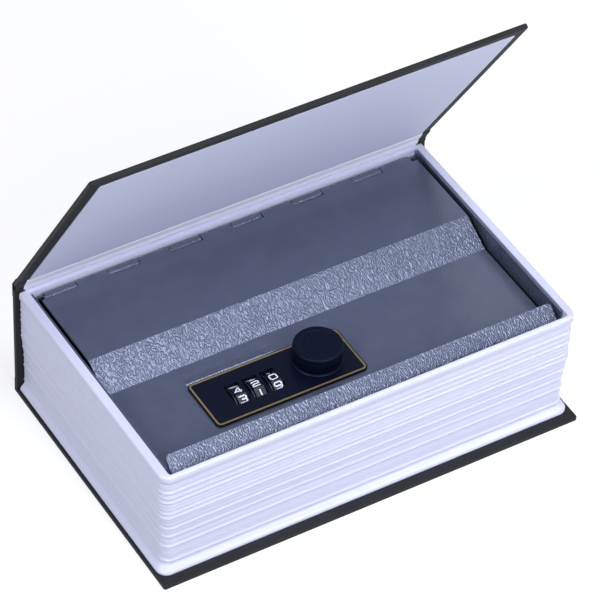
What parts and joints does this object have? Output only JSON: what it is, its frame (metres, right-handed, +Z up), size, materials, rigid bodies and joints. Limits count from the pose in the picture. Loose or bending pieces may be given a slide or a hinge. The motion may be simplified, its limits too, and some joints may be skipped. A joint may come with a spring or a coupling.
{
  "type": "book diversion safe",
  "caption": "Book-shaped safe: a cloth-bound cover folds open over a steel box with a piano-hinged lid, a combination dial lock and a latch knob.",
  "frame": {"origin": "on the table, under the middle of the back cover", "axes": "+X along the spine, -Y towards the fore edge of the pages, +Z up"},
  "size_m": [0.18, 0.117, 0.1555],
  "materials": {
    "cover_cloth": "matte",
    "liner_paper": "matte",
    "page_plastic": "satin",
    "hammered_paint": "satin",
    "zinc_screw": "satin",
    "bright_steel": "satin",
    "plate_black": "satin",
    "housing_plastic": "matte",
    "dial_black": "gloss",
    "knob_black": "satin"
  },
  "bodies": {
    "book": {"back_cover": "cover_cloth", "page_block": "page_plastic", "steel_box": "hammered_paint", "box_screw_1": "zinc_screw", "box_screw_2": "zinc_screw", "box_screw_3": "zinc_screw", "box_screw_4": "zinc_screw", "hinge_pin": "bright_steel"},
    "spine": {"spine_board": "cover_cloth", "spine_liner": "liner_paper", "fold_cloth": "cover_cloth"},
    "cover": {"front_cover": "cover_cloth", "front_liner": "liner_paper"},
    "lid": {"lid_panel": "hammered_paint", "lock_plate": "plate_black", "lock_housing": "housing_plastic", "dial_axle": "bright_steel", "detent_spring": "bright_steel", "lock_screw_1": "zinc_screw", "lock_screw_2": "zinc_screw", "knob_collar": "knob_black"},
    "dial_left": {"dial_1": "dial_black"},
    "dial_middle": {"dial_2": "dial_black"},
    "dial_right": {"dial_3": "dial_black"},
    "latch": {"knob": "knob_black", "spindle": "bright_steel", "latch_cam": "bright_steel", "latch_nut": "zinc_screw"}
  },
  "joints": [
    {"name": "spine_lean", "type": "hinge", "parent": "book", "child": "spine", "pos_m": [0, 0.0585, 0.002], "axis": [-1, 0, 0], "range_deg": [0, 29.4]},
    {"name": "cover_fold", "type": "hinge", "parent": "spine", "child": "cover", "pos_m": [0, 0.05805, 0.05605], "axis": [-1, 0, 0], "range_deg": [-58.5, 95]},
    {"name": "lid_hinge", "type": "hinge", "parent": "book", "child": "lid", "pos_m": [0, 0.052, 0.0497], "axis": [-1, 0, 0], "range_deg": [0, 98]},
    {"name": "dial_left_spin", "type": "hinge", "parent": "lid", "child": "dial_left", "pos_m": [-0.0391, -0.0223, 0.0395], "axis": [1, 0, 0], "continuous": true},
    {"name": "dial_middle_spin", "type": "hinge", "parent": "lid", "child": "dial_middle", "pos_m": [-0.03165, -0.0223, 0.0395], "axis": [1, 0, 0], "continuous": true},
    {"name": "dial_right_spin", "type": "hinge", "parent": "lid", "child": "dial_right", "pos_m": [-0.0242, -0.0223, 0.0395], "axis": [1, 0, 0], "continuous": true},
    {"name": "knob_turn", "type": "hinge", "parent": "lid", "child": "latch", "pos_m": [-0.005, -0.0212, 0.0456], "axis": [0, 0, 1], "range_deg": [-90, 0]}
  ],
  "couplings": [
    {"joint": "spine_lean", "follows": "lid_hinge", "ratio": 0.3}
  ]
}
